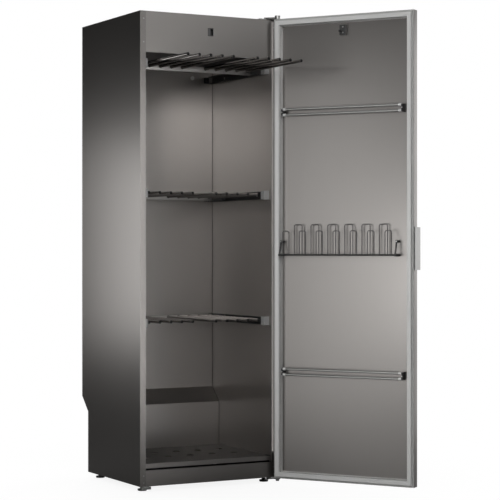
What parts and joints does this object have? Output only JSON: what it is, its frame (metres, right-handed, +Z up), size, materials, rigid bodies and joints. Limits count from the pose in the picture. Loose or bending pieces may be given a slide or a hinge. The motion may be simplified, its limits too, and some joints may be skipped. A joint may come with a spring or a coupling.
{
  "type": "drying cabinet",
  "caption": "Tall free-standing drying cabinet with a full-height hinged door, pull-out hanging racks, towel rails, a glove rack and a warm-air fan compartment.",
  "frame": {"origin": "centre of the steel carcass's underside, between its sides and between its front and back", "axes": "+X to the right seen from the front, -Y out of the front opening, +Z up; door open 123.4 degrees and upper rack pulled out at rest"},
  "size_m": [0.9463, 1.088, 1.866],
  "materials": {
    "shell": "semi-gloss anthracite",
    "rear_sheet": "satin grey",
    "inner_steel": "satin warm grey",
    "insulation": "matt",
    "dark_plastic": "matt",
    "light_plastic": "matt",
    "rail_steel": "satin black",
    "zinc_steel": "zinc plated",
    "board": "gloss",
    "fan_plastic": "matt",
    "door_steel": "semi-gloss warm grey",
    "gasket_rubber": "matt",
    "bright_bar": "polished",
    "dark_wire": "satin",
    "handle_metal": "satin",
    "rack_steel": "semi-gloss",
    "rack_bar_steel": "satin"
  },
  "bodies": {
    "carcass": {"left_side_panel": "shell", "right_side_panel": "shell", "roof_panel": "shell", "fascia": "shell", "plinth": "shell", "back_panel": "rear_sheet", "base_panel": "rear_sheet", "wall_bracket": "rear_sheet", "left_liner": "inner_steel", "right_liner": "inner_steel", "back_liner": "inner_steel", "ceiling_grille": "inner_steel", "shoe_floor": "inner_steel", "wall_insulation": "insulation", "latch_strike": "dark_plastic", "rail_buffers": "dark_plastic", "fan_housing": "dark_plastic", "cable_gland": "dark_plastic", "feet": "dark_plastic", "sensor_cap": "light_plastic", "rail_caps": "light_plastic", "terminal_block": "light_plastic", "control_box": "light_plastic", "rack_rails": "rail_steel", "foot_bosses": "zinc_steel", "top_hinge_bracket": "zinc_steel", "lower_hinge_brackets": "zinc_steel", "exhaust_spigot": "zinc_steel", "exhaust_duct": "zinc_steel", "heater_duct": "zinc_steel", "hinge_pins": "zinc_steel", "carcass_screws": "zinc_steel", "fan_motor": "zinc_steel", "heater_element": "zinc_steel", "thermostat": "zinc_steel", "circuit_board": "board"},
    "door": {"door_outer_panel": "door_steel", "door_inner_panel": "door_steel", "door_insulation": "insulation", "door_gasket": "gasket_rubber", "hinge_bushes": "light_plastic", "latch_block": "dark_plastic", "towel_bars": "bright_bar", "towel_brackets": "dark_plastic", "glove_frame": "dark_wire", "glove_hoops": "dark_wire", "door_handle": "handle_metal", "fitting_screws": "zinc_steel", "control_panel": "dark_plastic"},
    "upper_rack": {"upper_rack_tubes": "rack_steel", "upper_rack_plugs": "dark_plastic", "upper_rack_crossbar": "rack_bar_steel"},
    "middle_rack": {"middle_rack_tubes": "rack_steel", "middle_rack_crossbar": "rack_bar_steel"},
    "lower_rack": {"lower_rack_tubes": "rack_steel", "lower_rack_crossbar": "rack_bar_steel"},
    "fan": {"fan_wheel": "fan_plastic"},
    "knob": {"program_knob": "light_plastic"},
    "start": {"start_button": "light_plastic"},
    "light": {"light_button": "light_plastic"}
  },
  "joints": [
    {"name": "door_swing", "type": "hinge", "parent": "carcass", "child": "door", "pos_m": [0.2875, -0.302, 0.9], "axis": [0, 0, 1], "range_deg": [-123.4, 0]},
    {"name": "upper_rack_slide", "type": "slide", "parent": "carcass", "child": "upper_rack", "axis": [0, -1, 0], "range_m": [-0.36, 0]},
    {"name": "middle_rack_slide", "type": "slide", "parent": "carcass", "child": "middle_rack", "axis": [0, -1, 0], "range_m": [-0.02, 0.336]},
    {"name": "lower_rack_slide", "type": "slide", "parent": "carcass", "child": "lower_rack", "axis": [0, -1, 0], "range_m": [-0.02, 0.336]},
    {"name": "fan_spin", "type": "hinge", "parent": "carcass", "child": "fan", "pos_m": [-0.1075, 0.02, 1.69], "axis": [0, 0, 1], "continuous": true},
    {"name": "program_knob_turn", "type": "hinge", "parent": "door", "child": "knob", "pos_m": [0.5065, -0.5978, 1.56], "axis": [0.8348, 0.5505, 0], "range_deg": [-300, 0]},
    {"name": "start_button_press", "type": "slide", "parent": "door", "child": "start", "axis": [-0.8348, -0.5505, 0], "range_m": [0, 0.0025], "stiffness_N_per_m": 400, "springref_m": -0.001},
    {"name": "light_button_press", "type": "slide", "parent": "door", "child": "light", "axis": [-0.8348, -0.5505, 0], "range_m": [0, 0.0025], "stiffness_N_per_m": 400, "springref_m": -0.001}
  ],
  "couplings": [
    {"joint": "upper_rack_slide", "follows": "door_swing", "m_per_rad": 0.16623}
  ]
}
